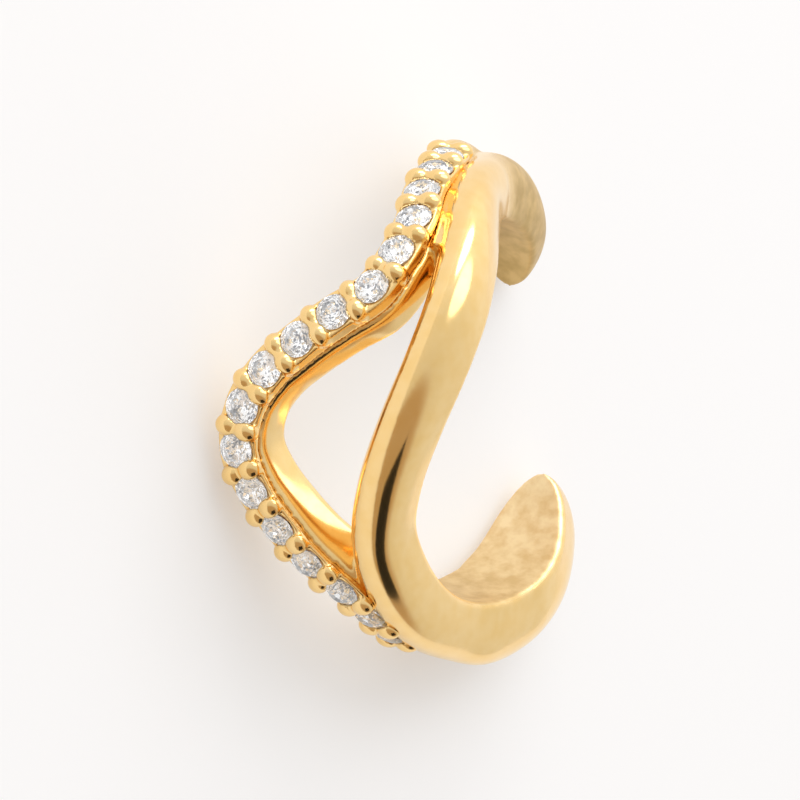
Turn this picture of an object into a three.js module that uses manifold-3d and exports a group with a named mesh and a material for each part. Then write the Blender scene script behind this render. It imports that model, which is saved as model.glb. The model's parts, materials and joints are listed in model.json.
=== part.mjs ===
// Ear cuff: an open ring of cast, gilded metal. A smooth wavy strand and a strand set with
// round brilliants part at the front to leave an eye between them, and join at each side of
// the gap in a thin rounded paddle. The jewel lies on its side, the bow of the set strand down.
//
// Units are millimetres. The ring is built about its own axis, +Z, with its front towards -Y
// and its upper paddle towards -X, and is turned to the way that it rests at the end.
import * as THREE from "three";
import { ConvexGeometry } from "three/addons/geometries/ConvexGeometry.js";
import { ConvexHull } from "three/addons/math/ConvexHull.js";
import { mergeVertices } from "three/addons/utils/BufferGeometryUtils.js";
import Module from "manifold-3d";

const wasm = await Module();
wasm.setup();

// Ring
const innerRadius = 5.2; // ring axis to the inner face
const gapWidth = 5.1; // between the tips of the two paddles, across the opening
const waveReach = 1.3; // furthest that the smooth strand swings along the axis
const bowReach = 3.78; // furthest that the set strand bows the other way

// Smooth strand and paddles
const smoothWidth = 1.48;
const smoothThickness = 1.65;
const paddleWidth = 2.75;
const paddleTipLength = 3.8; // length of the half ellipse that rounds a paddle off
const edgeLength = 1.3; // stretch over which a paddle's thickness rounds down to its tip
const wallShare = 0.3; // straight part of the side, as a share of the thickness
const domePower = 2.3; // 2 is an ellipse, more is squarer
const cornerRadius = 0.16; // polished edge at the inner face

// Set strand: a plain base with a narrower rail on it
const baseWidth = 1.36;
const baseHeight = 1.06;
const grooveDepth = 0.07;
const grooveHeight = 0.06;
const railWidth = 1.24;
const railTopWidth = 1.06;
const railHeight = 0.57;
const capRise = 0.3; // how far the plain ends of the rail stand above its set part

// Stones and prongs
const stoneCount = 17;
const stoneDiameter = 1.0;
const stonePitch = 1.225; // centre to centre along the strand
const firstStoneAngle = 84.2; // degrees round from the front
const girdleRise = 0.1; // girdle above the top of the rail
const seatClearance = 0.03;
const prongRadius = 0.23;
const prongSpread = 0.35; // from the strand's middle to a prong's axis
const prongRise = 0.33; // top of a prong above the top of the rail
const prongRoot = 0.45; // how deep a prong starts below the top of the rail
const bridgeRadius = 0.17; // saddle between the two prongs of a pair

// Proportions of a round brilliant, as shares of its diameter
const cut = {
  table: 0.57,
  crownAngle: 34.5,
  pavilionAngle: 40.75,
  girdle: 0.03,
  starLength: 0.5,
  lowerLength: 0.77,
};

// Course of the smooth strand. arc runs from -1 at the lower tip to 1 at the upper tip, axial
// is a share of waveReach, depth a share of smoothThickness, and flare turns the strand's width
// into the paddle's.
const smoothCourse = [
  { arc: -1.0, axial: -0.42, depth: 1.0, flare: 1.0 },
  { arc: -0.9, axial: -0.27, depth: 1.12, flare: 0.96 },
  { arc: -0.8, axial: -0.08, depth: 1.2, flare: 0.92 },
  { arc: -0.71, axial: -0.03, depth: 1.2, flare: 0.85 },
  { arc: -0.62, axial: 0.12, depth: 1.14, flare: 0.35 },
  { arc: -0.53, axial: 0.07, depth: 1.07, flare: 0.14 },
  { arc: -0.4, axial: 0.05, depth: 1.02, flare: 0.12 },
  { arc: -0.27, axial: 0.02, depth: 1.0, flare: 0.08 },
  { arc: -0.17, axial: 0.04, depth: 1.0, flare: 0.0 },
  { arc: -0.07, axial: 0.3, depth: 1.0, flare: 0.0 },
  { arc: 0.04, axial: 0.68, depth: 1.0, flare: 0.0 },
  { arc: 0.13, axial: 0.93, depth: 1.0, flare: 0.0 },
  { arc: 0.21, axial: 1.0, depth: 1.0, flare: 0.0 },
  { arc: 0.28, axial: 0.9, depth: 1.0, flare: 0.0 },
  { arc: 0.36, axial: 0.6, depth: 1.0, flare: 0.0 },
  { arc: 0.46, axial: 0.04, depth: 1.0, flare: 0.0 },
  { arc: 0.54, axial: -0.42, depth: 1.0, flare: 0.0 },
  { arc: 0.62, axial: -0.78, depth: 1.0, flare: 0.0 },
  { arc: 0.7, axial: -1.2, depth: 1.08, flare: 0.5 },
  { arc: 0.77, axial: -1.48, depth: 1.12, flare: 0.85 },
  { arc: 0.88, axial: -1.6, depth: 1.0, flare: 0.95 },
  { arc: 1.0, axial: -1.72, depth: 0.85, flare: 0.95 },
];

// Course of the set strand. axial is a share of bowReach, height a share of railHeight, and
// cap is 1 where the rail is plain and domed.
const setCourse = [
  { arc: -0.74, axial: -0.16, height: 0.1, cap: 1.0 },
  { arc: -0.62, axial: -0.22, height: 0.5, cap: 1.0 },
  { arc: -0.5, axial: -0.18, height: 0.62, cap: 0.6 },
  { arc: -0.4, axial: -0.14, height: 0.75, cap: 0.0 },
  { arc: -0.33, axial: -0.165, height: 0.85, cap: 0.0 },
  { arc: -0.27, axial: -0.285, height: 0.96, cap: 0.0 },
  { arc: -0.22, axial: -0.495, height: 1.0, cap: 0.0 },
  { arc: -0.165, axial: -0.69, height: 1.0, cap: 0.0 },
  { arc: -0.11, axial: -0.87, height: 1.0, cap: 0.0 },
  { arc: -0.05, axial: -0.99, height: 1.0, cap: 0.0 },
  { arc: 0.02, axial: -0.965, height: 1.0, cap: 0.0 },
  { arc: 0.08, axial: -0.83, height: 1.0, cap: 0.0 },
  { arc: 0.13, axial: -0.64, height: 1.0, cap: 0.0 },
  { arc: 0.18, axial: -0.43, height: 1.0, cap: 0.0 },
  { arc: 0.23, axial: -0.21, height: 1.0, cap: 0.0 },
  { arc: 0.3, axial: -0.145, height: 1.0, cap: 0.0 },
  { arc: 0.37, axial: -0.175, height: 1.0, cap: 0.0 },
  { arc: 0.44, axial: -0.29, height: 1.0, cap: 0.0 },
  { arc: 0.51, axial: -0.37, height: 1.0, cap: 0.0 },
  { arc: 0.58, axial: -0.48, height: 1.0, cap: 0.4 },
  { arc: 0.65, axial: -0.61, height: 1.0, cap: 1.0 },
  { arc: 0.72, axial: -0.66, height: 0.8, cap: 1.0 },
  { arc: 0.79, axial: -0.64, height: 0.3, cap: 1.0 },
];

// How finely the surfaces are cut up
const smoothSections = 50;
const setSections = 56;
const domeSteps = 5;
const prongSides = 6;
const prongCapSteps = 2;
const seatSides = 12;
const walkSteps = 900;

const halfArc = Math.PI - Math.asin(gapWidth / 2 / innerRadius);
const { lerp, clamp, degToRad } = THREE.MathUtils;

// A column of a course at any arc: a cubic through the rows, with the slopes of their neighbours.
function sample(course, column, arc) {
  const last = course.length - 1;
  let i = 0;
  while (i < last - 1 && arc > course[i + 1].arc) i++;
  const slopeAt = (k) => {
    const before = course[Math.max(k - 1, 0)];
    const after = course[Math.min(k + 1, last)];
    return (after[column] - before[column]) / (after.arc - before.arc);
  };
  const from = course[i];
  const to = course[i + 1];
  const span = to.arc - from.arc;
  const t = clamp((arc - from.arc) / span, 0, 1);
  const h = (a, b, c) => ((a * t + b) * t + c) * t;
  return (
    (h(2, -3, 0) + 1) * from[column] +
    h(1, -2, 1) * span * slopeAt(i) +
    h(-2, 3, 0) * to[column] +
    h(1, -1, 0) * span * slopeAt(i + 1)
  );
}

// A point of the ring frame, and the directions out from the axis, along a strand and across it.
function stationOf(course, reach, arc) {
  const place = (a) => {
    const angle = a * halfArc;
    return { angle, axial: reach * sample(course, "axial", a) };
  };
  const { angle, axial } = place(arc);
  const step = 1e-4;
  const rise = (place(arc + step).axial - place(arc - step).axial) / (2 * step * halfArc);
  const middle = innerRadius + smoothThickness / 2;
  const out = new THREE.Vector3(-Math.sin(angle), -Math.cos(angle), 0);
  const along = new THREE.Vector3(-Math.cos(angle) * middle, Math.sin(angle) * middle, rise).normalize();
  const across = new THREE.Vector3().crossVectors(along, out);
  const point = (side, height) =>
    out
      .clone()
      .multiplyScalar(innerRadius + height)
      .addScaledVector(across, side)
      .add(new THREE.Vector3(0, 0, axial));
  return { out, along, across, point };
}

// Half outline of a smooth section, from the middle of the inner face round to the crown.
function smoothOutline(halfWidth, thickness) {
  const corner = Math.min(cornerRadius, 0.45 * thickness, 0.45 * halfWidth);
  const shoulder = Math.max(1.2 * corner, wallShare * thickness);
  const points = [];
  const cornerSteps = 2;
  for (let k = 0; k <= cornerSteps; k++) {
    const turn = ((k / cornerSteps) * Math.PI) / 2;
    points.push([halfWidth - corner + corner * Math.sin(turn), corner - corner * Math.cos(turn)]);
  }
  for (let k = 0; k <= domeSteps; k++) {
    const turn = (k / domeSteps) * (Math.PI / 2);
    const side = halfWidth * Math.cos(turn) ** (2 / domePower);
    const rise = (thickness - shoulder) * Math.sin(turn) ** (2 / domePower);
    points.push([side, shoulder + rise]);
  }
  return points;
}

// Half outline of the set strand: base, groove, rail and, on its plain ends, a domed cap.
function setOutline(height, cap) {
  const half = baseWidth / 2;
  const railBottom = baseHeight + grooveHeight;
  const railTop = baseHeight + Math.max(railHeight * height, 2 * grooveHeight);
  const rise = capRise * cap;
  const topHalf = railTopWidth / 2;
  return [
    [half - cornerRadius, 0],
    [half, cornerRadius],
    [half, baseHeight - grooveDepth],
    [half - grooveDepth, baseHeight],
    [railWidth / 2 - grooveDepth, baseHeight],
    [railWidth / 2, railBottom],
    [topHalf, railTop],
    [topHalf * 0.75, railTop + rise * 0.55],
    [topHalf * 0.35, railTop + rise * 0.9],
    [0, railTop + rise],
  ];
}

// The whole ring of points of a section, mirrored from its half outline.
function sectionPoints(station, outline) {
  const right = outline.map(([side, height]) => station.point(side, height));
  const left = outline
    .filter(([side]) => side > 1e-6)
    .map(([side, height]) => station.point(-side, height))
    .reverse();
  return [...right, ...left];
}

// A closed solid through rings of points that all have the same count.
function loft(rings) {
  const count = rings[0].length;
  const vertices = rings.flat();
  const triangles = [];
  for (let r = 0; r + 1 < rings.length; r++)
    for (let k = 0; k < count; k++) {
      const next = (k + 1) % count;
      const [a, b] = [r * count + k, r * count + next];
      triangles.push([a, b, b + count], [a, b + count, a + count]);
    }
  for (const r of [0, rings.length - 1]) {
    const hub = vertices.length;
    const centre = rings[r].reduce((sum, p) => sum.add(p), new THREE.Vector3()).divideScalar(count);
    vertices.push(centre);
    for (let k = 0; k < count; k++) {
      const edge = [r * count + k, r * count + ((k + 1) % count)];
      triangles.push(r === 0 ? [hub, edge[1], edge[0]] : [hub, edge[0], edge[1]]);
    }
  }
  const geometry = new THREE.BufferGeometry().setFromPoints(vertices);
  geometry.setIndex(triangles.flat());
  return solidOf(geometry);
}

// A closed three.js geometry as a solid for joining and cutting.
function solidOf(geometry) {
  const bare = geometry.clone();
  bare.deleteAttribute("normal");
  bare.deleteAttribute("uv");
  const merged = mergeVertices(bare, 1e-5);
  const position = merged.attributes.position;
  const triVerts = new Uint32Array(merged.index.array);
  const [a, b, c] = [new THREE.Vector3(), new THREE.Vector3(), new THREE.Vector3()];
  let volume = 0;
  for (let i = 0; i < triVerts.length; i += 3) {
    a.fromBufferAttribute(position, triVerts[i]);
    b.fromBufferAttribute(position, triVerts[i + 1]);
    c.fromBufferAttribute(position, triVerts[i + 2]);
    volume += a.dot(b.cross(c));
  }
  if (volume < 0) triVerts.reverse();
  return new wasm.Manifold(
    new wasm.Mesh({ numProp: 3, vertProperties: new Float32Array(position.array), triVerts }),
  );
}

// A solid as a three.js geometry with flat facets.
function geometryOf(solid) {
  const mesh = solid.getMesh();
  const geometry = new THREE.BufferGeometry();
  geometry.setAttribute("position", new THREE.BufferAttribute(new Float32Array(mesh.vertProperties), 3));
  geometry.setIndex(new THREE.BufferAttribute(new Uint32Array(mesh.triVerts), 1));
  const flat = geometry.toNonIndexed();
  flat.computeVertexNormals();
  return flat;
}

// The smooth strand with its two paddles.
function smoothStrand() {
  const arcLength = halfArc * innerRadius;
  const rings = [];
  for (let i = 0; i <= smoothSections; i++) {
    // Sections crowd together towards the tips, where the outline turns fastest.
    const arc = Math.sin((i / smoothSections - 0.5) * Math.PI * 0.985);
    const toTip = (1 - Math.abs(arc)) * arcLength;
    const rounding = clamp(1 - toTip / paddleTipLength, 0, 1);
    const flare = clamp(sample(smoothCourse, "flare", arc), 0, 1);
    const width = lerp(smoothWidth, paddleWidth, flare) * Math.sqrt(1 - rounding ** 2);
    const edge = clamp(1 - toTip / edgeLength, 0, 1);
    const thickness = smoothThickness * sample(smoothCourse, "depth", arc) * Math.sqrt(1 - edge ** 2);
    rings.push(
      sectionPoints(stationOf(smoothCourse, waveReach, arc), smoothOutline(width / 2, thickness)),
    );
  }
  return loft(rings);
}

// The base and rail of the set strand, whose ends sink into the paddles.
function setStrand() {
  const first = setCourse[0].arc;
  const last = setCourse[setCourse.length - 1].arc;
  const rings = [];
  for (let i = 0; i <= setSections; i++) {
    const arc = lerp(first, last, i / setSections);
    const height = sample(setCourse, "height", arc);
    const cap = clamp(sample(setCourse, "cap", arc), 0, 1);
    rings.push(sectionPoints(stationOf(setCourse, bowReach, arc), setOutline(height, cap)));
  }
  return loft(rings);
}

function railTopAt(arc) {
  return baseHeight + railHeight * sample(setCourse, "height", arc);
}

// The arc reached by walking a distance along the girdles, down from the first stone.
function walker() {
  const start = degToRad(firstStoneAngle) / halfArc;
  const end = setCourse[0].arc;
  const places = [{ arc: start, distance: 0 }];
  const at = (arc) => stationOf(setCourse, bowReach, arc).point(0, railTopAt(arc) + girdleRise);
  let before = at(start);
  for (let i = 1; i <= walkSteps; i++) {
    const arc = lerp(start, end, i / walkSteps);
    const here = at(arc);
    places.push({ arc, distance: places[i - 1].distance + here.distanceTo(before) });
    before = here;
  }
  return (distance) => {
    if (distance < 0) return start + (start - places[1].arc) * (-distance / places[1].distance);
    const i = clamp(places.findIndex((p) => p.distance >= distance), 1, walkSteps);
    const [a, b] = [places[i - 1], places[i]];
    return lerp(a.arc, b.arc, (distance - a.distance) / (b.distance - a.distance));
  };
}

// A frame at the girdle of each stone: x along the strand, y across it, z out of the ring.
function frameAt(arc, height) {
  const station = stationOf(setCourse, bowReach, arc);
  const across = station.across.clone();
  const along = new THREE.Vector3().crossVectors(across, station.out);
  return new THREE.Matrix4()
    .makeBasis(along, across, station.out)
    .setPosition(station.point(0, height));
}

// A round brilliant with its girdle's upper edge in the plane z = 0.
function brilliant() {
  const radius = stoneDiameter / 2;
  const tableRadius = cut.table * radius;
  const crownSlope = Math.tan(degToRad(cut.crownAngle));
  const pavilionSlope = Math.tan(degToRad(cut.pavilionAngle));
  const eighth = Math.PI / 4;
  const flatten = Math.cos(eighth / 2);
  const tableHeight = (radius - tableRadius) * crownSlope;
  const girdleBottom = -cut.girdle * stoneDiameter;
  const culet = girdleBottom - radius * pavilionSlope;
  const starRadius = lerp(tableRadius * flatten, radius, cut.starLength);
  const starHeight = tableHeight - (starRadius * flatten - tableRadius) * crownSlope;
  const lowerRadius = radius * (1 - cut.lowerLength);
  const ringOf = (count, r, z, turn = 0) =>
    Array.from({ length: count }, (_, k) => {
      const angle = (k / count) * 2 * Math.PI + turn;
      return new THREE.Vector3(r * Math.cos(angle), r * Math.sin(angle), z);
    });
  return new ConvexGeometry([
    ...ringOf(8, tableRadius, tableHeight),
    ...ringOf(8, starRadius, starHeight, eighth / 2),
    ...ringOf(16, radius, 0),
    ...ringOf(16, radius, girdleBottom),
    ...ringOf(8, lowerRadius, culet + lowerRadius * flatten * pavilionSlope, eighth / 2),
    new THREE.Vector3(0, 0, culet),
  ]);
}

// What is cut away round a stone: its own shape grown by the clearance, open at the top.
function seat() {
  const radius = stoneDiameter / 2 + seatClearance;
  const crownSlope = Math.tan(degToRad(cut.crownAngle));
  const pavilionSlope = Math.tan(degToRad(cut.pavilionAngle));
  const tableRadius = (cut.table * stoneDiameter) / 2 + seatClearance;
  const girdleBottom = -cut.girdle * stoneDiameter - seatClearance;
  const crownTop = seatClearance + (radius - tableRadius) * crownSlope;
  const profile = [
    [0, girdleBottom - radius * pavilionSlope],
    [radius, girdleBottom],
    [radius, seatClearance],
    [tableRadius, crownTop],
    [tableRadius, crownTop + stoneDiameter],
    [0, crownTop + stoneDiameter],
  ].map(([r, z]) => new THREE.Vector2(r, z));
  return new THREE.LatheGeometry(profile, seatSides).rotateX(Math.PI / 2).rotateZ(Math.PI / seatSides);
}

// A pair of prongs with the saddle between them, about the top of the rail.
function prongPair() {
  const length = prongRise + prongRoot - prongRadius;
  const prong = new THREE.CapsuleGeometry(prongRadius, length, prongCapSteps, prongSides)
    .rotateX(Math.PI / 2)
    .translate(0, 0, prongRise - prongRadius - length / 2);
  const bridge = new THREE.CapsuleGeometry(bridgeRadius, 2 * prongSpread, prongCapSteps, prongSides)
    .translate(0, 0, prongRise - prongRadius);
  return [
    prong.clone().translate(0, prongSpread, 0),
    prong.clone().translate(0, -prongSpread, 0),
    bridge,
  ];
}

const arcAt = walker();
const stoneArcs = Array.from({ length: stoneCount }, (_, k) => arcAt(k * stonePitch));
const prongArcs = Array.from({ length: stoneCount + 1 }, (_, k) => arcAt((k - 0.5) * stonePitch));
const stoneFrames = stoneArcs.map((arc) => frameAt(arc, railTopAt(arc) + girdleRise));

function cuffSolid() {
  const prongs = prongArcs.flatMap((arc) =>
    prongPair().map((shape) => solidOf(shape.applyMatrix4(frameAt(arc, railTopAt(arc))))),
  );
  const seats = stoneFrames.map((frame) => solidOf(seat().applyMatrix4(frame)));
  const metal = wasm.Manifold.union([smoothStrand(), setStrand(), ...prongs]);
  return metal.subtract(wasm.Manifold.union(seats));
}

// The turn that lays the ring down: of the faces of its hull that its weight falls through, and
// so holds still on, it takes the one that faces down the most.
function restingTurn(points, weight) {
  const down = new THREE.Vector3(0, 0, -1);
  const foot = new THREE.Vector3();
  const steady = new ConvexHull().setFromPoints(points).faces.filter((face) => {
    const plane = new THREE.Plane().setFromNormalAndCoplanarPoint(face.normal, face.midpoint);
    plane.projectPoint(weight, foot);
    const { edge } = face;
    const corners = [edge.tail().point, edge.head().point, edge.next.head().point];
    return new THREE.Triangle(...corners).containsPoint(foot);
  });
  const lowest = steady.reduce((best, f) => (f.normal.dot(down) > best.normal.dot(down) ? f : best));
  return new THREE.Quaternion().setFromUnitVectors(lowest.normal, down);
}

// Centre of the volume inside a closed mesh.
function centreOfMass(geometry) {
  const position = geometry.attributes.position;
  const sum = new THREE.Vector3();
  const [a, b, c] = [new THREE.Vector3(), new THREE.Vector3(), new THREE.Vector3()];
  let total = 0;
  for (let i = 0; i < position.count; i += 3) {
    a.fromBufferAttribute(position, i);
    b.fromBufferAttribute(position, i + 1);
    c.fromBufferAttribute(position, i + 2);
    const volume = a.dot(new THREE.Vector3().crossVectors(b, c));
    total += volume;
    sum.addScaledVector(a.add(b).add(c), volume / 4);
  }
  return sum.divideScalar(total);
}

const gold = new THREE.MeshStandardMaterial({ color: 0xe3b45c, roughness: 0.2, metalness: 1.0 });
const crystal = new THREE.MeshStandardMaterial({ color: 0xf2f4f8, roughness: 0.03, metalness: 0.0 });

const cuff = new THREE.Mesh(geometryOf(cuffSolid()), gold);
cuff.name = "cuff";

const stones = stoneFrames.map((frame, k) => {
  const stone = new THREE.Mesh(brilliant(), crystal);
  stone.name = "stone_" + String(k + 1).padStart(2, "0");
  stone.applyMatrix4(frame);
  return stone;
});

const earCuff = new THREE.Group();
earCuff.name = "ear_cuff";
earCuff.add(cuff, ...stones);

// Laid down, the jewel's lowest point is at z = 0, under the middle of its box.
const cuffPoints = [];
for (let i = 0; i < cuff.geometry.attributes.position.count; i++)
  cuffPoints.push(new THREE.Vector3().fromBufferAttribute(cuff.geometry.attributes.position, i));
earCuff.quaternion.copy(restingTurn(cuffPoints, centreOfMass(cuff.geometry)));
earCuff.updateMatrixWorld(true);
const box = new THREE.Box3().setFromObject(earCuff, true);
const middle = box.getCenter(new THREE.Vector3());
earCuff.position.set(-middle.x, -middle.y, -box.min.z);

export default earCuff;
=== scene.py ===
"""Looks of an ear cuff: an open ring of gilded metal with a smooth strand and a stone-set strand.

Lengths of the jewel are in millimetres in the ring's own frame: its axis is +Z, the middle of
the strands faces -Y, and the upper paddle lies towards -X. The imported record's ear_rim mount
says where that frame lies, so ring_to_row turns it into the row's metres.
"""

import json
import math

import bmesh
import bpy
import numpy as np
from mathutils import Matrix, Vector

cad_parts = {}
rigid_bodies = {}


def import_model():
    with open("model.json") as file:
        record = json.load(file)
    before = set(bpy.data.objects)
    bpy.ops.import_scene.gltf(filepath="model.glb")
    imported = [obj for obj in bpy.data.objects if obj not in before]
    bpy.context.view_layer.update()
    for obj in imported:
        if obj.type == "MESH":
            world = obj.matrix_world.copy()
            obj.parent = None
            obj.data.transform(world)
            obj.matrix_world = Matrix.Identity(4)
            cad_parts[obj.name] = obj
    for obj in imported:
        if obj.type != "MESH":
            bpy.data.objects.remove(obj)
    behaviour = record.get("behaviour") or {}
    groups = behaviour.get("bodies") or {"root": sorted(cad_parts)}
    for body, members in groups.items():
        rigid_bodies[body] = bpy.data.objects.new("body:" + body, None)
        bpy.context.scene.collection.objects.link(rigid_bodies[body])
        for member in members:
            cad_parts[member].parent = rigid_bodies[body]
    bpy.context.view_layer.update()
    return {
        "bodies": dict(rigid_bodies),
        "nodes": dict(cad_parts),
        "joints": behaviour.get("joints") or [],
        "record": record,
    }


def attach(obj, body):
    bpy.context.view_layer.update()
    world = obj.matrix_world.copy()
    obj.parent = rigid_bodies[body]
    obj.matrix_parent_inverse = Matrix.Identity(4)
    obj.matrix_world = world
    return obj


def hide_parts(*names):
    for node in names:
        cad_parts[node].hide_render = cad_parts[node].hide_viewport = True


MM = 0.001

# Ring
INNER_RADIUS = 5.2
GAP_WIDTH = 5.1
WAVE_REACH = 1.3
BOW_REACH = 3.78

# Smooth strand and paddles
SMOOTH_WIDTH = 1.48
SMOOTH_THICKNESS = 1.65
PADDLE_WIDTH = 2.75
PADDLE_TIP_LENGTH = 3.8  # of the half ellipse that rounds a paddle off
EDGE_LENGTH = 1.3  # over which a paddle's thickness rounds down to its tip
WALL_SHARE = 0.3  # straight part of the side, as a share of the thickness
DOME_POWER = 2.3  # 2 is an ellipse, more is squarer
CORNER_RADIUS = 0.16
CORNER_SHARE = 0.45  # the most that a corner takes up of a thickness or a half width
SHOULDER_SHARE = 1.2  # the least height of the straight side, as a share of the corner

# Set strand
BASE_WIDTH = 1.36
BASE_HEIGHT = 1.06  # without a rail
BASE_ROUNDING = 5.0  # power of the curve of its sides
BASE_LIFT = 0.22  # of its inner face, where it stands clear of the smooth strand
RAIL_HEIGHT = 0.57  # from BASE_HEIGHT to the rail's top
RAIL_WALL = 0.4  # the most that the rail stands above its base
RAIL_ROOT = 0.1  # of the rail, sunk into the base
RAIL_WIDTH = 1.2
RAIL_TOP_WIDTH = 1.13
RAIL_BEVEL = 0.02
RAIL_ROOT_SHARE = 0.6  # flat underside of the root, as a share of the rail's width
RAIL_CREST_SHARE = 0.4  # middle strip of the flat top, as a share of its width
RAIL_OVERHANG = 0.012  # past the first and last pairs of prongs, as an arc
GROOVE_DEPTH = 0.1
GROOVE_HEIGHT = 0.06
LIP_RISE = 0.05  # of the rail's edge, above the height that the prongs and stones are set from
CAP_RISE = 0.3  # of the dome where the base carries no rail
TROUGH_DEPTH = 0.4  # of the base, under the stones
SEAM = 0.01  # between surfaces that would otherwise coincide

# Web that joins the strands above the place where they part; heights above the inner face
WEB_ARCS = (0.335, 0.66)
WEB_HEIGHT = 1.47
WEB_FOOT = 0.3
WEB_START = 0.45  # share of the way from the set strand's middle to the smooth strand's

# Stones and prongs
STONE_COUNT = 17
STONE_DIAMETER = 1.0
STONE_PITCH = 1.225
FIRST_STONE_ANGLE = math.radians(84.2)  # from the strands' middle
STONE_TURN = math.radians(17.0)  # from one stone to the next, about its own axis
GIRDLE_RISE = 0.1  # of the girdles above the rail's top
SEAT_CLEARANCE = 0.02
BEAD_HALF_LENGTH = 0.31
BEAD_HALF_WIDTH = 0.36
BEAD_SINK = 0.05  # of a bead's foot, into the base
BEAD_SPREAD = 0.29
PRONG_RISE = 0.37  # of a bead's top above the rail's top
SADDLE_RADIUS = 0.21
SADDLE_DROP = 0.08  # from the beads' tops
COLUMN_RADIUS = 0.2
COLUMN_TOP_SPREAD = 0.4
COLUMN_FOOT_SPREAD = 0.43

# Proportions of a round brilliant, as shares of its diameter
TABLE = 0.57
CROWN_ANGLE = math.radians(34.5)
PAVILION_ANGLE = math.radians(40.75)
GIRDLE = 0.03
STAR_LENGTH = 0.5
LOWER_LENGTH = 0.77

# Course of the smooth strand: arc from the lower tip at -1 to the upper tip at 1, axial as a
# share of WAVE_REACH, depth as a share of SMOOTH_THICKNESS, and flare from strand to paddle.
SMOOTH_COURSE = {
    "arc": (-1.0, -0.9, -0.8, -0.71, -0.62, -0.53, -0.4, -0.27, -0.17, -0.07, 0.04,
            0.13, 0.21, 0.28, 0.36, 0.46, 0.54, 0.62, 0.7, 0.77, 0.88, 1.0),
    "axial": (-0.42, -0.27, -0.08, -0.03, 0.12, 0.07, 0.05, 0.02, 0.04, 0.3, 0.68,
              0.93, 1.0, 0.9, 0.6, 0.04, -0.42, -0.78, -1.2, -1.48, -1.6, -1.72),
    "depth": (1.1, 1.32, 1.42, 1.4, 1.26, 1.07, 1.02, 1.0, 1.0, 1.0, 1.0,
              1.0, 1.0, 1.0, 1.0, 1.0, 1.0, 1.0, 1.08, 1.12, 1.0, 0.85),
    "flare": (1.0, 0.96, 0.92, 0.85, 0.35, 0.14, 0.12, 0.08, 0.0, 0.0, 0.0,
              0.0, 0.0, 0.0, 0.0, 0.0, 0.0, 0.0, 0.5, 0.85, 0.95, 0.95),
}

# Course of the set strand: axial as a share of BOW_REACH, height as a share of RAIL_HEIGHT, cap 1
# where the rail is plain and domed, wall as a share of RAIL_WALL, and lift as a share of BASE_LIFT.
SET_COURSE = {
    "arc": (-0.74, -0.62, -0.5, -0.4, -0.33, -0.27, -0.22, -0.165, -0.11, -0.05, 0.02, 0.08,
            0.13, 0.18, 0.23, 0.3, 0.37, 0.44, 0.51, 0.58, 0.65, 0.72, 0.79),
    "axial": (-0.16, -0.22, -0.18, -0.14, -0.165, -0.285, -0.495, -0.69, -0.87, -0.99, -0.965,
              -0.83, -0.64, -0.43, -0.21, -0.145, -0.175, -0.29, -0.37, -0.48, -0.61, -0.66,
              -0.64),
    "height": (0.1, 0.5, 0.62, 0.75, 0.85, 0.96, 1.0, 1.0, 1.0, 1.0, 1.0, 1.0,
               1.0, 1.0, 1.0, 1.0, 1.0, 1.0, 1.0, 1.0, 1.0, 0.8, 0.3),
    "cap": (1.0, 1.0, 0.6, 0.0, 0.0, 0.0, 0.0, 0.0, 0.0, 0.0, 0.0, 0.0,
            0.0, 0.0, 0.0, 0.0, 0.0, 0.0, 0.0, 0.4, 1.0, 1.0, 1.0),
    "wall": (0.0, 0.0, 0.2, 0.25, 0.25, 0.25, 0.3, 0.35, 0.4, 0.5, 0.6, 0.75,
             0.9, 1.0, 1.0, 0.9, 0.7, 0.6, 0.6, 0.4, 0.0, 0.0, 0.0),
    "lift": (0.0, 0.0, 0.0, 0.0, 0.3, 0.7, 1.0, 1.0, 1.0, 1.0, 1.0, 1.0,
             1.0, 1.0, 1.0, 1.0, 0.6, 0.2, 0.0, 0.0, 0.0, 0.0, 0.0),
}

# Finish; tones are linear colours, lengths are in metres, and a noise has a scale per metre
# and a detail
POLISHED_TONES = ((0.96, 0.66, 0.27), (0.98, 0.7, 0.32))
SATIN_TONES = ((0.84, 0.6, 0.3), (1.0, 0.8, 0.48))
# painted shade: darker satin tones for the paddles' faces that lie in shade
PAINTED_SHADE_TONES = ((0.57, 0.39, 0.15), (0.72, 0.51, 0.22))
ROUGHNESS_RANGE = (0.15, 0.42)
CLOUDS = (2200.0, 6.0)
GRAIN = (3500.0, 5.0)
GRAIN_DEPTH = 0.00003
GRAIN_RANGE = (0.02, 0.4)
CLOUD_CONTRAST = (0.35, 0.65)
STONE_INDEX = 2.15
STONE_CLOUDS = (2200.0, 2.0)
STONE_TONES = ((0.97, 0.98, 1.0), (1.0, 1.0, 1.0))
# painted light on the stones' backs: a glow, and dark and bright facet reflections in a noise
PAINTED_STONE_GLOW = 0.14
PAINTED_FACET_NOISE = (7000.0, 1.0)
PAINTED_FACET_CONTRAST = (0.36, 0.42)
PAINTED_FACET_REFLECTIONS = ((0.12, 0.13, 0.16), (1.0, 1.0, 1.0))

# Where the finish changes: (start, length) of a fade, in millimetres from the axis, as an arc, or
# as the share of the normal that lies along the axis
SATIN_RADIUS_FADE = (INNER_RADIUS + 0.12, -0.1)
SATIN_ARC_FADE = (0.3, 0.2)
SATIN_FRONT = 0.35  # on the inner face behind the eye
SIDE_NORMAL_FADE = (-0.05, 0.2)
SIDE_ARC_FADE = (0.62, 0.07)
# where the painted shade lies: on the upper paddle, and on part of the lower paddle
UPPER_PAINTED_SHADE_FADE = (0.5, 0.15)
LOWER_PAINTED_SHADE_FADES = ((-0.88, 0.3), (-0.3, -0.1))
LOWER_PAINTED_SHADE = 0.7

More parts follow.
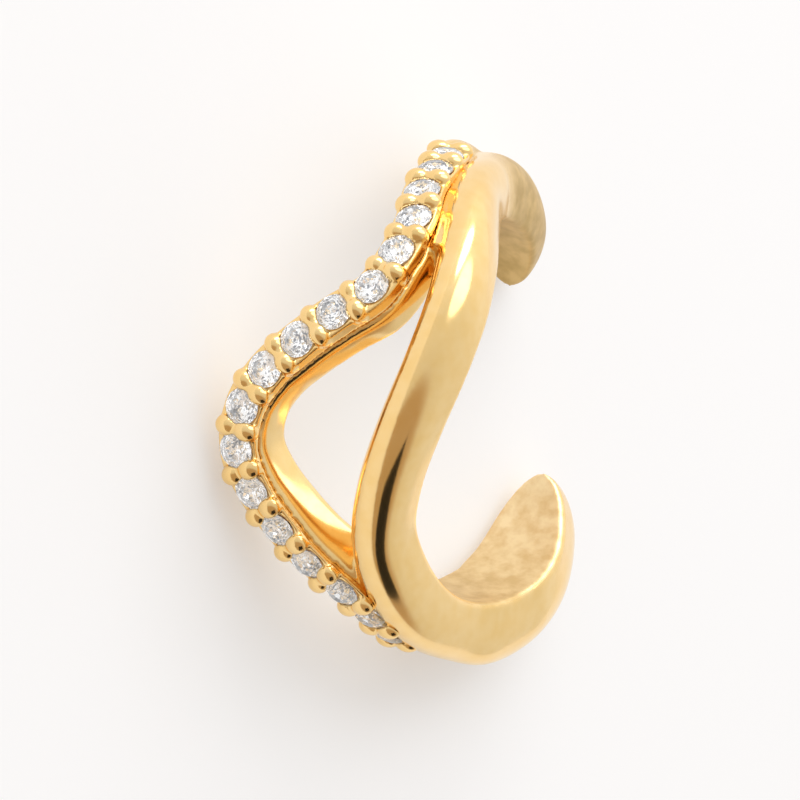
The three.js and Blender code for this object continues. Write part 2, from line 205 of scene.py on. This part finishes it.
# Camera: where the photograph was taken from, in the ring's frame
AXIS_SLOPE = math.radians(-12.0)  # the ring's axis falls to the right in the picture
AXIS_TOWARDS = math.radians(28.0)  # and comes towards the camera
FRONT_TURN = math.radians(-13.5)  # the strands' middle, below the direction of the camera
IMAGE_PIXELS = 800
PIXELS_PER_MM = 36.5
RING_CENTRE_PIXEL = (488.0, 410.0)
CAMERA_DISTANCE = 137.0  # millimetres, from the ring's centre
SENSOR = 36.0
CLIP_RANGE = (0.001, 10.0)  # metres

# Studio; a place is azimuth and elevation in degrees, and azimuth 0 is +Y, 90 is +X
STUDIO_RADIUS = 0.32  # metres, as all sizes here
SIDE_BOX_PLACE = (-78.0, 20.0)
SIDE_BOX_SIZE = (0.27, 0.11)
SIDE_BOX_RADIANCE = 3.8
WIDE_BOX_PLACE = (-72.0, 52.0)
WIDE_BOX_SIZE = (0.36, 0.2)
WIDE_BOX_RADIANCE = 1.5
FLAG_PLACE = (99.0, 26.0)
FLAG_SIZE = (0.19, 0.24)
FLAG_TURN = math.radians(50.0)
FLAG_TONE = (0.01, 0.008, 0.006)
DIM_SIDE = (125.0, 10.0)
WORLD_STRENGTH = 1.18
FLOOR_HALF_SIZE = 0.6
FLOOR_TONE = (0.6, 0.6, 0.61)
FLOOR_GLOW = 0.37
# Surroundings, by their place from 0, opposite the dim side, to 1, at the dim side; the colour
# ramp has a stop at 0 and at 1 to begin with, so those two come first
SURROUNDINGS = (
    (0.0, (1.0, 1.0, 1.0)),
    (1.0, (0.4, 0.3, 0.2)),
    (0.5, (0.68, 0.68, 0.68)),
    (0.68, (0.63, 0.62, 0.6)),
    (0.82, (0.42, 0.315, 0.22)),
)

# Surface resolution
LOFT_SECTIONS = 420
TIP_SHARE = 0.985  # how near to a paddle's tip its last section lies
CORNER_STEPS = 6
CROWN_STEPS = 24
BASE_CORNER_STEPS = 4
BASE_SIDE_STEPS = 10
BASE_CROWN_STEPS = 8
WALK_STEPS = 900
SEAT_SIDES = 48
ROD_SIDES = 24
ROD_STEPS = 8
STRAND_VOXEL = 0.064
SETTING_VOXEL = 0.038
STRAND_SMOOTHING = 9
SETTING_SMOOTHING = 4
SMOOTHING_FACTOR = 0.5
MIDDLE_WIDTH = 1e-6  # within which a point lies in the middle and has no mirror image
BEAD_BAND = 0.001  # straight part round a bead's middle, as a share of its half height
FACET_ANGLE = math.radians(0.3)  # the least angle between two facets

HALF_ARC = math.pi - math.asin(GAP_WIDTH / 2 / INNER_RADIUS)


def kept(value, low=0.0, high=1.0):
    """A value kept inside a range."""
    return min(max(value, low), high)


def sample(course, column, arc):
    """A column of a course at an arc: a cubic through its rows."""
    arcs, values = course["arc"], course[column]
    last = len(arcs) - 1
    i = 0
    while i < last - 1 and arc > arcs[i + 1]:
        i += 1

    def slope(k):
        before, after = max(k - 1, 0), min(k + 1, last)
        return (values[after] - values[before]) / (arcs[after] - arcs[before])

    span = arcs[i + 1] - arcs[i]
    t = kept((arc - arcs[i]) / span)
    return (
        (2 * t**3 - 3 * t**2 + 1) * values[i]
        + (t**3 - 2 * t**2 + t) * span * slope(i)
        + (-2 * t**3 + 3 * t**2) * values[i + 1]
        + (t**3 - t**2) * span * slope(i + 1)
    )


class Station:
    """A place on a strand: out from the ring's axis, along the strand and across it."""

    def __init__(self, course, reach, arc):
        step = 1e-4
        angle = arc * HALF_ARC
        before = sample(course, "axial", arc - step)
        after = sample(course, "axial", arc + step)
        rise = reach * (after - before) / (2 * step * HALF_ARC)
        middle = INNER_RADIUS + SMOOTH_THICKNESS / 2
        self.axial = reach * sample(course, "axial", arc)
        self.out = Vector((-math.sin(angle), -math.cos(angle), 0))
        along = Vector((-math.cos(angle) * middle, math.sin(angle) * middle, rise))
        self.across = along.normalized().cross(self.out)
        self.along = self.across.cross(self.out)

    def point(self, side, height):
        return self.out * (INNER_RADIUS + height) + self.across * side + Vector((0, 0, self.axial))

    def matrix(self, height):
        rotation = Matrix((self.along, self.across, self.out)).transposed().to_4x4()
        return Matrix.Translation(self.point(0, height)) @ rotation


def smooth_outline(half_width, thickness):
    """Half a smooth section, from the inner face round the side to the crown."""
    corner = min(CORNER_RADIUS, CORNER_SHARE * thickness, CORNER_SHARE * half_width)
    shoulder = max(SHOULDER_SHARE * corner, WALL_SHARE * thickness)
    points = []
    for k in range(CORNER_STEPS + 1):
        turn = k / CORNER_STEPS * math.pi / 2
        points.append((half_width - corner + corner * math.sin(turn), corner - corner * math.cos(turn)))
    for k in range(CROWN_STEPS + 1):
        turn = k / CROWN_STEPS * math.pi / 2
        side = half_width * max(math.cos(turn), 0) ** (2 / DOME_POWER)
        rise = (thickness - shoulder) * math.sin(turn) ** (2 / DOME_POWER)
        points.append((side, shoulder + rise))
    return points


def rail_top(arc):
    return BASE_HEIGHT + RAIL_HEIGHT * sample(SET_COURSE, "height", arc)


def set_heights(arc):
    """The rail's top, the base's top and the base's inner face, above INNER_RADIUS."""
    top = rail_top(arc)
    wall = RAIL_WALL * kept(sample(SET_COURSE, "wall", arc))
    lift = BASE_LIFT * kept(sample(SET_COURSE, "lift", arc))
    return top, top - wall, lift


def base_outline(arc):
    """Half the base: hollow under the stones, and domed where it carries no rail."""
    _, base_top, foot = set_heights(arc)
    cap = kept(sample(SET_COURSE, "cap", arc))
    dome = CAP_RISE * cap - TROUGH_DEPTH * (1 - cap)
    half = BASE_WIDTH / 2
    inset = half - RAIL_WIDTH / 2 + GROOVE_DEPTH
    points = []
    for k in range(BASE_CORNER_STEPS + 1):
        turn = k / BASE_CORNER_STEPS * math.pi / 2
        side = half - CORNER_RADIUS + CORNER_RADIUS * math.sin(turn)
        points.append((side, foot + CORNER_RADIUS - CORNER_RADIUS * math.cos(turn)))
    for k in range(1, BASE_SIDE_STEPS + 1):
        share = k / BASE_SIDE_STEPS
        height = foot + CORNER_RADIUS + share * (base_top - foot - CORNER_RADIUS)
        points.append((half - inset * share**BASE_ROUNDING, height))
    for k in range(BASE_CROWN_STEPS + 1):
        turn = k / BASE_CROWN_STEPS * math.pi / 2
        side = (half - inset - SEAM) * math.cos(turn)
        points.append((side, base_top + SEAM + dome * math.sin(turn)))
    return points


def rail_outline(arc):
    """Half the rail that the stones are set in; it starts inside the base."""
    top, base_top, _ = set_heights(arc)
    half, top_half = RAIL_WIDTH / 2, RAIL_TOP_WIDTH / 2
    edge = top + LIP_RISE
    return [
        (RAIL_ROOT_SHARE * half, base_top - RAIL_ROOT - 2 * SEAM),
        (half - GROOVE_DEPTH, base_top - RAIL_ROOT),
        (half - GROOVE_DEPTH, base_top + GROOVE_HEIGHT),
        (half, base_top + GROOVE_HEIGHT + SEAM),
        (top_half, edge - RAIL_BEVEL),
        (top_half - RAIL_BEVEL, edge),
        (RAIL_CREST_SHARE * top_half, edge),
        (0.0, edge),
    ]


def skin(name, rings):
    """A closed mesh through rings with the same number of points."""
    count = len(rings[0])
    faces = []
    for r in range(len(rings) - 1):
        for k in range(count):
            a, b = r * count + k, r * count + (k + 1) % count
            faces.append((a, b, b + count, a + count))
    faces.append(tuple(range(count))[::-1])
    faces.append(tuple(range((len(rings) - 1) * count, len(rings) * count)))
    return mesh_object(name, [point for ring in rings for point in ring], faces)


def loft(name, stations, outlines):
    """A closed mesh through mirrored outlines at stations."""
    rings = []
    for station, outline in zip(stations, outlines):
        right = [station.point(side, height) for side, height in outline]
        left = [station.point(-side, height) for side, height in outline if side > MIDDLE_WIDTH]
        rings.append(right + left[::-1])
    return skin(name, rings)


def mesh_object(name, vertices, faces):
    mesh = bpy.data.meshes.new(name)
    mesh.from_pydata([tuple(v) for v in vertices], [], faces)
    made = bmesh.new()
    made.from_mesh(mesh)
    bmesh.ops.recalc_face_normals(made, faces=made.faces)
    made.to_mesh(mesh)
    made.free()
    obj = bpy.data.objects.new(name, mesh)
    bpy.context.scene.collection.objects.link(obj)
    return obj


def smooth_strand():
    arc_length = HALF_ARC * INNER_RADIUS
    stations, outlines = [], []
    for i in range(LOFT_SECTIONS + 1):
        arc = math.sin((i / LOFT_SECTIONS - 0.5) * math.pi * TIP_SHARE)
        to_tip = (1 - abs(arc)) * arc_length
        rounding = kept(1 - to_tip / PADDLE_TIP_LENGTH)
        flare = kept(sample(SMOOTH_COURSE, "flare", arc))
        full = SMOOTH_WIDTH + (PADDLE_WIDTH - SMOOTH_WIDTH) * flare
        width = full * math.sqrt(1 - rounding**2)
        edge = kept(1 - to_tip / EDGE_LENGTH)
        depth = SMOOTH_THICKNESS * sample(SMOOTH_COURSE, "depth", arc)
        stations.append(Station(SMOOTH_COURSE, WAVE_REACH, arc))
        outlines.append(smooth_outline(width / 2, depth * math.sqrt(1 - edge**2)))
    return loft("smooth_strand", stations, outlines)


def set_base():
    first, last = SET_COURSE["arc"][0], SET_COURSE["arc"][-1]
    stations, outlines = [], []
    for i in range(LOFT_SECTIONS + 1):
        arc = first + (last - first) * i / LOFT_SECTIONS
        stations.append(Station(SET_COURSE, BOW_REACH, arc))
        outlines.append(base_outline(arc))
    return loft("set_base", stations, outlines)


def web():
    """The metal between the two strands, above the place where they part."""
    rings = []
    for i in range(LOFT_SECTIONS + 1):
        arc = WEB_ARCS[0] + (WEB_ARCS[1] - WEB_ARCS[0]) * i / LOFT_SECTIONS
        near = Station(SET_COURSE, BOW_REACH, arc)
        far = Station(SMOOTH_COURSE, WAVE_REACH, arc)
        low, low_end = near.point(0, WEB_FOOT), far.point(0, WEB_FOOT)
        high, high_end = near.point(0, WEB_HEIGHT), far.point(0, WEB_HEIGHT)
        rings.append([low.lerp(low_end, WEB_START), low_end, high_end, high.lerp(high_end, WEB_START)])
    return skin("web", rings)


def girdle_matrix(arc):
    """The frame of a stone that stands at an arc."""
    return Station(SET_COURSE, BOW_REACH, arc).matrix(rail_top(arc) + GIRDLE_RISE)


def stone_arcs():
    """Arcs of the stones, and of the prong pairs between them, walked along the girdles."""
    start = FIRST_STONE_ANGLE / HALF_ARC
    end = SET_COURSE["arc"][0]
    arcs = [start + (end - start) * i / WALK_STEPS for i in range(WALK_STEPS + 1)]
    points = [girdle_matrix(arc).translation for arc in arcs]
    walked = np.concatenate(([0.0], np.cumsum([(q - p).length for p, q in zip(points, points[1:])])))
    stones = [float(np.interp(k * STONE_PITCH, walked, arcs)) for k in range(STONE_COUNT)]
    pairs = [float(np.interp((k + 0.5) * STONE_PITCH, walked, arcs)) for k in range(STONE_COUNT)]
    before_first = arcs[0] + (arcs[0] - arcs[1]) * 0.5 * STONE_PITCH / walked[1]
    return stones, [before_first] + pairs


def brilliant_rings():
    radius = STONE_DIAMETER / 2
    eighth = math.pi / 4
    flatten = math.cos(eighth / 2)
    table = TABLE * radius
    table_height = (radius - table) * math.tan(CROWN_ANGLE)
    girdle_bottom = -GIRDLE * STONE_DIAMETER
    culet = girdle_bottom - radius * math.tan(PAVILION_ANGLE)
    star = table * flatten + (radius - table * flatten) * STAR_LENGTH
    star_height = table_height - (star * flatten - table) * math.tan(CROWN_ANGLE)
    lower = radius * (1 - LOWER_LENGTH)
    lower_height = culet + lower * flatten * math.tan(PAVILION_ANGLE)
    return [
        (8, table, table_height, 0.0),
        (8, star, star_height, eighth / 2),
        (16, radius, 0.0, 0.0),
        (16, radius, girdle_bottom, 0.0),
        (8, lower, lower_height, eighth / 2),
        (1, 0.0, culet, 0.0),
    ]


def brilliant(name, turn):
    """A round brilliant with 57 facets, its girdle's upper edge in the plane z = 0."""
    made = bmesh.new()
    for count, radius, height, offset in brilliant_rings():
        for k in range(count):
            angle = k / count * 2 * math.pi + offset + turn
            made.verts.new((radius * math.cos(angle), radius * math.sin(angle), height))
    bmesh.ops.convex_hull(made, input=made.verts)
    bmesh.ops.dissolve_limit(made, angle_limit=FACET_ANGLE, verts=made.verts, edges=made.edges)
    bmesh.ops.recalc_face_normals(made, faces=made.faces)
    # the pavilion takes the second material, with its painted glow and painted facet reflections
    for face in made.faces:
        face.material_index = int(face.calc_center_median().z < -GIRDLE * STONE_DIAMETER)
    mesh = bpy.data.meshes.new(name)
    made.to_mesh(mesh)
    made.free()
    obj = bpy.data.objects.new(name, mesh)
    bpy.context.scene.collection.objects.link(obj)
    return obj


def turned(name, profile, sides, matrix):
    """A solid of revolution about z from (radius, height) points that start and end on the axis."""
    vertices = [(0, 0, profile[0][1])]
    for radius, height in profile[1:-1]:
        for k in range(sides):
            angle = k / sides * 2 * math.pi
            vertices.append((radius * math.cos(angle), radius * math.sin(angle), height))
    vertices.append((0, 0, profile[-1][1]))
    last = len(vertices) - 1
    rings = len(profile) - 2
    faces = [(0, 1 + (k + 1) % sides, 1 + k) for k in range(sides)]
    for r in range(rings - 1):
        low, high = 1 + r * sides, 1 + (r + 1) * sides
        for k in range(sides):
            n = (k + 1) % sides
            faces.append((low + k, low + n, high + n, high + k))
    top = 1 + (rings - 1) * sides
    faces += [(top + k, top + (k + 1) % sides, last) for k in range(sides)]
    return mesh_object(name, [matrix @ Vector(v) for v in vertices], faces)


def seat(matrix):
    """The space of a stone with its clearance, open upwards over the table."""
    radius = STONE_DIAMETER / 2 + SEAT_CLEARANCE
    bottom = -GIRDLE * STONE_DIAMETER - SEAT_CLEARANCE
    table = TABLE * STONE_DIAMETER / 2 + SEAT_CLEARANCE
    crown = SEAT_CLEARANCE + (radius - table) * math.tan(CROWN_ANGLE)
    profile = [
        (0, bottom - radius * math.tan(PAVILION_ANGLE)),
        (radius, bottom),
        (radius, SEAT_CLEARANCE),
        (table, crown),
        (table, crown + STONE_DIAMETER),
        (0, crown + STONE_DIAMETER),
    ]
    return turned("seat", profile, SEAT_SIDES, matrix)


def capsule(radius, length, matrix):
    """A rod along z with round ends, centred on the origin."""
    profile = []
    for start, middle in ((-math.pi / 2, -length / 2), (0.0, length / 2)):
        for k in range(ROD_STEPS + 1):
            turn = start + k / ROD_STEPS * math.pi / 2
            profile.append((radius * math.cos(turn), radius * math.sin(turn) + middle))
    profile[0] = (0, profile[0][1])
    profile[-1] = (0, profile[-1][1])
    return turned("rod", profile, ROD_SIDES, matrix)


def bead(half_height, matrix):
    """A pillow-shaped bead, centred on the origin."""
    shape = Matrix.Diagonal((BEAD_HALF_LENGTH, BEAD_HALF_WIDTH, half_height, 1))
    return capsule(1.0, BEAD_BAND, matrix @ shape)


def rod_between(foot, head, radius, matrix):
    """A rod with round ends from one point to another."""
    along = head - foot
    turn = along.to_track_quat("Z", "Y").to_matrix().to_4x4()
    return capsule(radius, along.length, matrix @ Matrix.Translation((foot + head) / 2) @ turn)


def prong_pair(arc):
    """Two beads, the saddle between them, and a column down each side of a high rail."""
    top, base_top, _ = set_heights(arc)
    frame = Station(SET_COURSE, BOW_REACH, arc).matrix(top)
    half_height = (PRONG_RISE + top - base_top + BEAD_SINK) / 2
    middle = PRONG_RISE - half_height
    foot = base_top + GROOVE_HEIGHT + COLUMN_RADIUS - top
    across = PRONG_RISE - SADDLE_DROP - SADDLE_RADIUS
    ends = [Vector((0, side * BEAD_SPREAD, across)) for side in (-1, 1)]
    made = [rod_between(ends[0], ends[1], SADDLE_RADIUS, frame)]
    for side in (-1, 1):
        made.append(bead(half_height, frame @ Matrix.Translation((0, side * BEAD_SPREAD, middle))))
        if foot < middle:
            low = Vector((0, side * COLUMN_FOOT_SPREAD, foot))
            high = Vector((0, side * COLUMN_TOP_SPREAD, middle))
            made.append(rod_between(low, high, COLUMN_RADIUS, frame))
    return made


def apply_modifiers(obj):
    depsgraph = bpy.context.evaluated_depsgraph_get()
    mesh = bpy.data.meshes.new_from_object(obj.evaluated_get(depsgraph))
    obj.modifiers.clear()
    obj.data = mesh


def combine(target, others, operation):
    """Joins others to target, or cuts them from it, and drops them."""
    collection = bpy.data.collections.new("operands")
    for other in others:
        collection.objects.link(other)
    modifier = target.modifiers.new("combine", "BOOLEAN")
    modifier.operation = operation
    modifier.operand_type = "COLLECTION"
    modifier.collection = collection
    modifier.solver = "MANIFOLD"
    apply_modifiers(target)
    for other in others:
        bpy.data.objects.remove(other)
    bpy.data.collections.remove(collection)


def remesh(obj, voxel, smoothing):
    modifier = obj.modifiers.new("remesh", "REMESH")
    modifier.mode = "VOXEL"
    modifier.voxel_size = voxel
    modifier.use_smooth_shade = True
    relax = obj.modifiers.new("relax", "SMOOTH")
    relax.factor = SMOOTHING_FACTOR
    relax.iterations = smoothing
    apply_modifiers(obj)


def to_row(obj, ring_to_row):
    obj.data.transform(ring_to_row)
    obj.data.update()


class Surface:
    """A material with one principled shader, and the nodes that lead to it."""

    def __init__(self, name, **inputs):
        self.material = bpy.data.materials.new(name)
        self.material.use_nodes = True
        self.nodes = self.material.node_tree.nodes
        self.links = self.material.node_tree.links
        self.shader = self.nodes["Principled BSDF"]
        for socket, value in inputs.items():
            self.shader.inputs[socket.replace("_", " ")].default_value = value

    def lead(self, value, node, socket):
        """Leads a socket, a number or a colour to a node's socket."""
        if isinstance(value, bpy.types.NodeSocket):
            self.links.new(value, node.inputs[socket])
        elif isinstance(value, tuple):
            node.inputs[socket].default_value = (*value, 1.0)
        else:
            node.inputs[socket].default_value = value

    def attribute(self, name):
        node = self.nodes.new("ShaderNodeAttribute")
        node.attribute_name = name
        return node.outputs["Fac"]

    def noise(self, scale, detail):
        coordinates = self.nodes.new("ShaderNodeTexCoord")
        node = self.nodes.new("ShaderNodeTexNoise")
        self.lead(coordinates.outputs["Object"], node, "Vector")
        self.lead(scale, node, "Scale")
        self.lead(detail, node, "Detail")
        return node.outputs["Fac"]

    def ranged(self, value, before, after):
        """A value moved from one range to another and kept inside it."""
        node = self.nodes.new("ShaderNodeMapRange")
        self.lead(value, node, "Value")
        for socket, number in zip(("From Min", "From Max", "To Min", "To Max"), (*before, *after)):
            self.lead(number, node, socket)
        return node.outputs["Result"]

    def mixed(self, factor, first, second):
        """A colour between two others."""
        node = self.nodes.new("ShaderNodeMix")
        node.data_type = "RGBA"
        for socket, value in (("Factor", factor), ("A", first), ("B", second)):
            self.lead(value, node, socket)
        return node.outputs["Result"]


def gold_material():
    """Polished yellow gold plating, cloudy and satin where the attribute satin says so, with painted
    shade, darker satin tones, where the attribute tan says so.
    """
    gold = Surface("gold", Metallic=1.0)
    satin = gold.attribute("satin")
    cloud = gold.ranged(gold.noise(*CLOUDS), CLOUD_CONTRAST, (0, 1))
    polished = gold.mixed(cloud, *POLISHED_TONES)
    pale = gold.mixed(cloud, *SATIN_TONES)
    # painted shade: the satin darkened where the attribute tan says so
    tan = gold.mixed(cloud, *PAINTED_SHADE_TONES)
    satin_and_shade = gold.mixed(gold.attribute("tan"), pale, tan)
    gold.lead(gold.mixed(satin, polished, satin_and_shade), gold.shader, "Base Color")
    gold.lead(gold.ranged(satin, (0, 1), ROUGHNESS_RANGE), gold.shader, "Roughness")

    bump = gold.nodes.new("ShaderNodeBump")
    gold.lead(GRAIN_DEPTH, bump, "Distance")
    gold.lead(gold.ranged(satin, (0, 1), GRAIN_RANGE), bump, "Strength")
    gold.lead(gold.noise(*GRAIN), bump, "Height")
    gold.lead(bump.outputs["Normal"], gold.shader, "Normal")
    return gold.material


def stone_material():
    """Clear, high-index stone."""
    stone = Surface("clear_stone", Transmission_Weight=1.0, IOR=STONE_INDEX, Roughness=0.0)
    stone.lead(stone.mixed(stone.noise(*STONE_CLOUDS), *STONE_TONES), stone.shader, "Base Color")
    return stone.material


def painted_stone_back_material():
    """The stones' backs, with painted light: a painted glow and painted dark and bright facet
    reflections stand in for the light that a well-cut stone sends back.
    """
    painted_back = Surface("stone_back_painted_light", Metallic=1.0, Roughness=0.05,
                   Emission_Color=(1.0, 1.0, 1.0, 1.0), Emission_Strength=PAINTED_STONE_GLOW)
    painted_facet = painted_back.ranged(painted_back.noise(*PAINTED_FACET_NOISE), PAINTED_FACET_CONTRAST, (0, 1))
    painted_back.lead(painted_back.mixed(painted_facet, *PAINTED_FACET_REFLECTIONS), painted_back.shader, "Base Color")
    return painted_back.material


def add_attribute(obj, name, values):
    attribute = obj.data.attributes.new(name, "FLOAT", "POINT")
    attribute.data.foreach_set("value", values.astype(np.float32))


def fade(values, start_and_length, least=0.0):
    """Rises from least to 1 over a length that may be negative."""
    start, length = start_and_length
    return np.clip((values - start) / length, least, 1)


def mark_finish(obj):
    """Writes satin, 1 on inner faces and the upper paddle's side, and tan, a painted shade that darkens
    the satin tone, 1 on that paddle.

    The painted shade fades out along the lower paddle, towards its tip.
    """
    count = len(obj.data.vertices)
    co = np.empty(count * 3, np.float32)
    normal = np.empty(count * 3, np.float32)
    obj.data.vertices.foreach_get("co", co)
    obj.data.vertices.foreach_get("normal", normal)
    co, normal = co.reshape(-1, 3), normal.reshape(-1, 3)
    radius = np.hypot(co[:, 0], co[:, 1])
    arc = np.arctan2(-co[:, 0], -co[:, 1]) / HALF_ARC
    inner = fade(radius, SATIN_RADIUS_FADE) * fade(np.abs(arc), SATIN_ARC_FADE, SATIN_FRONT)
    side = fade(normal[:, 2], SIDE_NORMAL_FADE) * fade(arc, SIDE_ARC_FADE)
    add_attribute(obj, "satin", np.maximum(inner, side))
    # painted shade on the paddles, kept in the attribute tan
    lower = LOWER_PAINTED_SHADE * fade(arc, LOWER_PAINTED_SHADE_FADES[0]) * fade(arc, LOWER_PAINTED_SHADE_FADES[1])
    add_attribute(obj, "tan", np.maximum(fade(arc, UPPER_PAINTED_SHADE_FADE), lower))


def build_metal(arcs, pairs):
    strands = smooth_strand()
    combine(strands, [set_base(), web()], "UNION")
    remesh(strands, STRAND_VOXEL, STRAND_SMOOTHING)
    strands.name = "cuff_strands"

    first, last = pairs[0] + RAIL_OVERHANG, pairs[-1] - RAIL_OVERHANG
    rail_arcs = [first + (last - first) * i / LOFT_SECTIONS for i in range(LOFT_SECTIONS + 1)]
    setting = loft(
        "cuff_setting",
        [Station(SET_COURSE, BOW_REACH, a) for a in rail_arcs],
        [rail_outline(a) for a in rail_arcs],
    )
    rods = []
    for arc in pairs:
        rods += prong_pair(arc)
    combine(setting, rods, "UNION")
    combine(setting, [seat(girdle_matrix(arc)) for arc in arcs], "DIFFERENCE")
    remesh(setting, SETTING_VOXEL, SETTING_SMOOTHING)
    return strands, setting


def build_stones(arcs):
    stones = []
    for k, arc in enumerate(arcs):
        stone = brilliant(f"brilliant_{k + 1:02d}", STONE_TURN * k)
        stone.data.transform(girdle_matrix(arc))
        stones.append(stone)
    return stones


def photo_axes():
    """The picture's right, its up and the way to the camera, in the ring's frame."""
    c, s = math.cos(AXIS_TOWARDS), math.sin(AXIS_TOWARDS)
    axis = Vector((c * math.cos(AXIS_SLOPE), c * math.sin(AXIS_SLOPE), s))
    front = (Vector((0, 0, 1)) - axis * axis.z).normalized()
    top = front.cross(axis)
    turned_front = front * math.cos(FRONT_TURN) + top * math.sin(FRONT_TURN)
    turned_top = -front * math.sin(FRONT_TURN) + top * math.cos(FRONT_TURN)
    return Matrix((-turned_top, -turned_front, axis))


def add_camera(ring_to_row):
    rotation = ring_to_row.to_3x3().normalized() @ photo_axes()
    right, up, back = rotation.col
    centre = ring_to_row.translation
    eye = centre + back * CAMERA_DISTANCE * MM
    middle = IMAGE_PIXELS / 2
    across = (middle - RING_CENTRE_PIXEL[0]) / PIXELS_PER_MM
    down = (middle - RING_CENTRE_PIXEL[1]) / PIXELS_PER_MM
    target = centre + (right * across - up * down) * MM
    view = (eye - target).normalized()
    side = up.cross(view).normalized()
    data = bpy.data.cameras.new("camera")
    data.sensor_width = SENSOR
    data.lens = SENSOR * CAMERA_DISTANCE * PIXELS_PER_MM / IMAGE_PIXELS
    data.clip_start, data.clip_end = CLIP_RANGE
    camera = bpy.data.objects.new("camera", data)
    bpy.context.scene.collection.objects.link(camera)
    turn = Matrix((side, view.cross(side), view)).transposed().to_4x4()
    camera.matrix_world = Matrix.Translation(eye) @ turn
    bpy.context.scene.camera = camera


def direction(azimuth, elevation):
    """A unit vector; azimuth 0 is +Y and 90 is +X, in degrees."""
    a, e = math.radians(azimuth), math.radians(elevation)
    return Vector((math.cos(e) * math.sin(a), math.cos(e) * math.cos(a), math.sin(e)))


def add_soft_box(name, azimuth_and_elevation, size, radiance):
    """An elliptical soft box that faces the ring."""
    data = bpy.data.lights.new(name, "AREA")
    data.shape = "ELLIPSE"
    data.size, data.size_y = size
    data.energy = radiance * math.pi * math.pi / 4 * size[0] * size[1]
    light = bpy.data.objects.new(name, data)
    bpy.context.scene.collection.objects.link(light)
    towards = direction(*azimuth_and_elevation)
    light.location = towards * STUDIO_RADIUS
    light.rotation_euler = towards.to_track_quat("Z", "Y").to_euler()


def plane(name, half_across, half_along, matrix, surface):
    """A rectangle in the plane z = 0 of its frame."""
    corners = [(-1, -1), (1, -1), (1, 1), (-1, 1)]
    points = [matrix @ Vector((x * half_across, y * half_along, 0)) for x, y in corners]
    made = mesh_object(name, points, [(0, 1, 2, 3)])
    made.data.materials.append(surface.material)
    return made


def add_flag():
    """A dark card outside the picture, which the polished band mirrors as a dark streak."""
    towards = direction(*FLAG_PLACE)
    turn = towards.to_track_quat("Z", "Y").to_matrix().to_4x4()
    matrix = Matrix.Translation(towards * STUDIO_RADIUS) @ turn @ Matrix.Rotation(FLAG_TURN, 4, "Z")
    card = Surface("flag", Base_Color=(*FLAG_TONE, 1.0), Roughness=1.0)
    flag = plane("flag", FLAG_SIZE[0] / 2, FLAG_SIZE[1] / 2, matrix, card)


def add_floor():
    paper = Surface("floor", Base_Color=(*FLOOR_TONE, 1.0), Roughness=0.9,
                    Emission_Color=(1.0, 1.0, 1.0, 1.0), Emission_Strength=FLOOR_GLOW)
    floor = plane("floor", FLOOR_HALF_SIZE, FLOOR_HALF_SIZE, Matrix.Identity(4), paper)


def add_world():
    """Pale studio surroundings, which turn dim and warm towards one side."""
    world = bpy.data.worlds.new("studio")
    bpy.context.scene.world = world
    world.use_nodes = True
    nodes, links = world.node_tree.nodes, world.node_tree.links
    coordinates = nodes.new("ShaderNodeTexCoord")
    towards = nodes.new("ShaderNodeVectorMath")
    towards.operation = "DOT_PRODUCT"
    towards.inputs[1].default_value = direction(*DIM_SIDE)
    links.new(coordinates.outputs["Generated"], towards.inputs[0])
    share = nodes.new("ShaderNodeMapRange")
    share.inputs["From Min"].default_value = -1.0
    links.new(towards.outputs["Value"], share.inputs["Value"])
    ramp = nodes.new("ShaderNodeValToRGB")
    ramp.color_ramp.interpolation = "EASE"
    stops = ramp.color_ramp.elements
    for i, (position, colour) in enumerate(SURROUNDINGS):
        stop = stops[i] if i < 2 else stops.new(position)
        stop.position = position
        stop.color = (*colour, 1.0)
    links.new(share.outputs["Result"], ramp.inputs["Fac"])
    background = nodes["Background"]
    background.inputs["Strength"].default_value = WORLD_STRENGTH
    links.new(ramp.outputs["Color"], background.inputs["Color"])


def main():
    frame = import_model()
    mount = next(m for m in frame["record"]["mounts"] if m["name"] == "ear_rim")
    turn = Vector((0, 0, 1)).rotation_difference(Vector(mount["axis"]))
    middle = Matrix.Translation(Vector(mount["pos_m"]))
    ring_to_row = middle @ turn.to_matrix().to_4x4() @ Matrix.Scale(MM, 4)

    arcs, pairs = stone_arcs()
    gold = gold_material()
    clear = stone_material()
    painted_back = painted_stone_back_material()
    for piece in build_metal(arcs, pairs):
        mark_finish(piece)
        piece.data.materials.clear()
        piece.data.materials.append(gold)
        to_row(piece, ring_to_row)
        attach(piece, "root")
        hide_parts("cuff")
    for k, stone in enumerate(build_stones(arcs)):
        stone.data.materials.append(clear)
        stone.data.materials.append(painted_back)
        to_row(stone, ring_to_row)
        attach(stone, "root")
        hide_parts(f"stone_{k + 1:02d}")

    add_camera(ring_to_row)
    add_soft_box("side_box", SIDE_BOX_PLACE, SIDE_BOX_SIZE, SIDE_BOX_RADIANCE)
    add_soft_box("wide_box", WIDE_BOX_PLACE, WIDE_BOX_SIZE, WIDE_BOX_RADIANCE)
    add_flag()
    add_floor()
    add_world()
    bpy.context.scene.view_settings.view_transform = "Standard"


main()
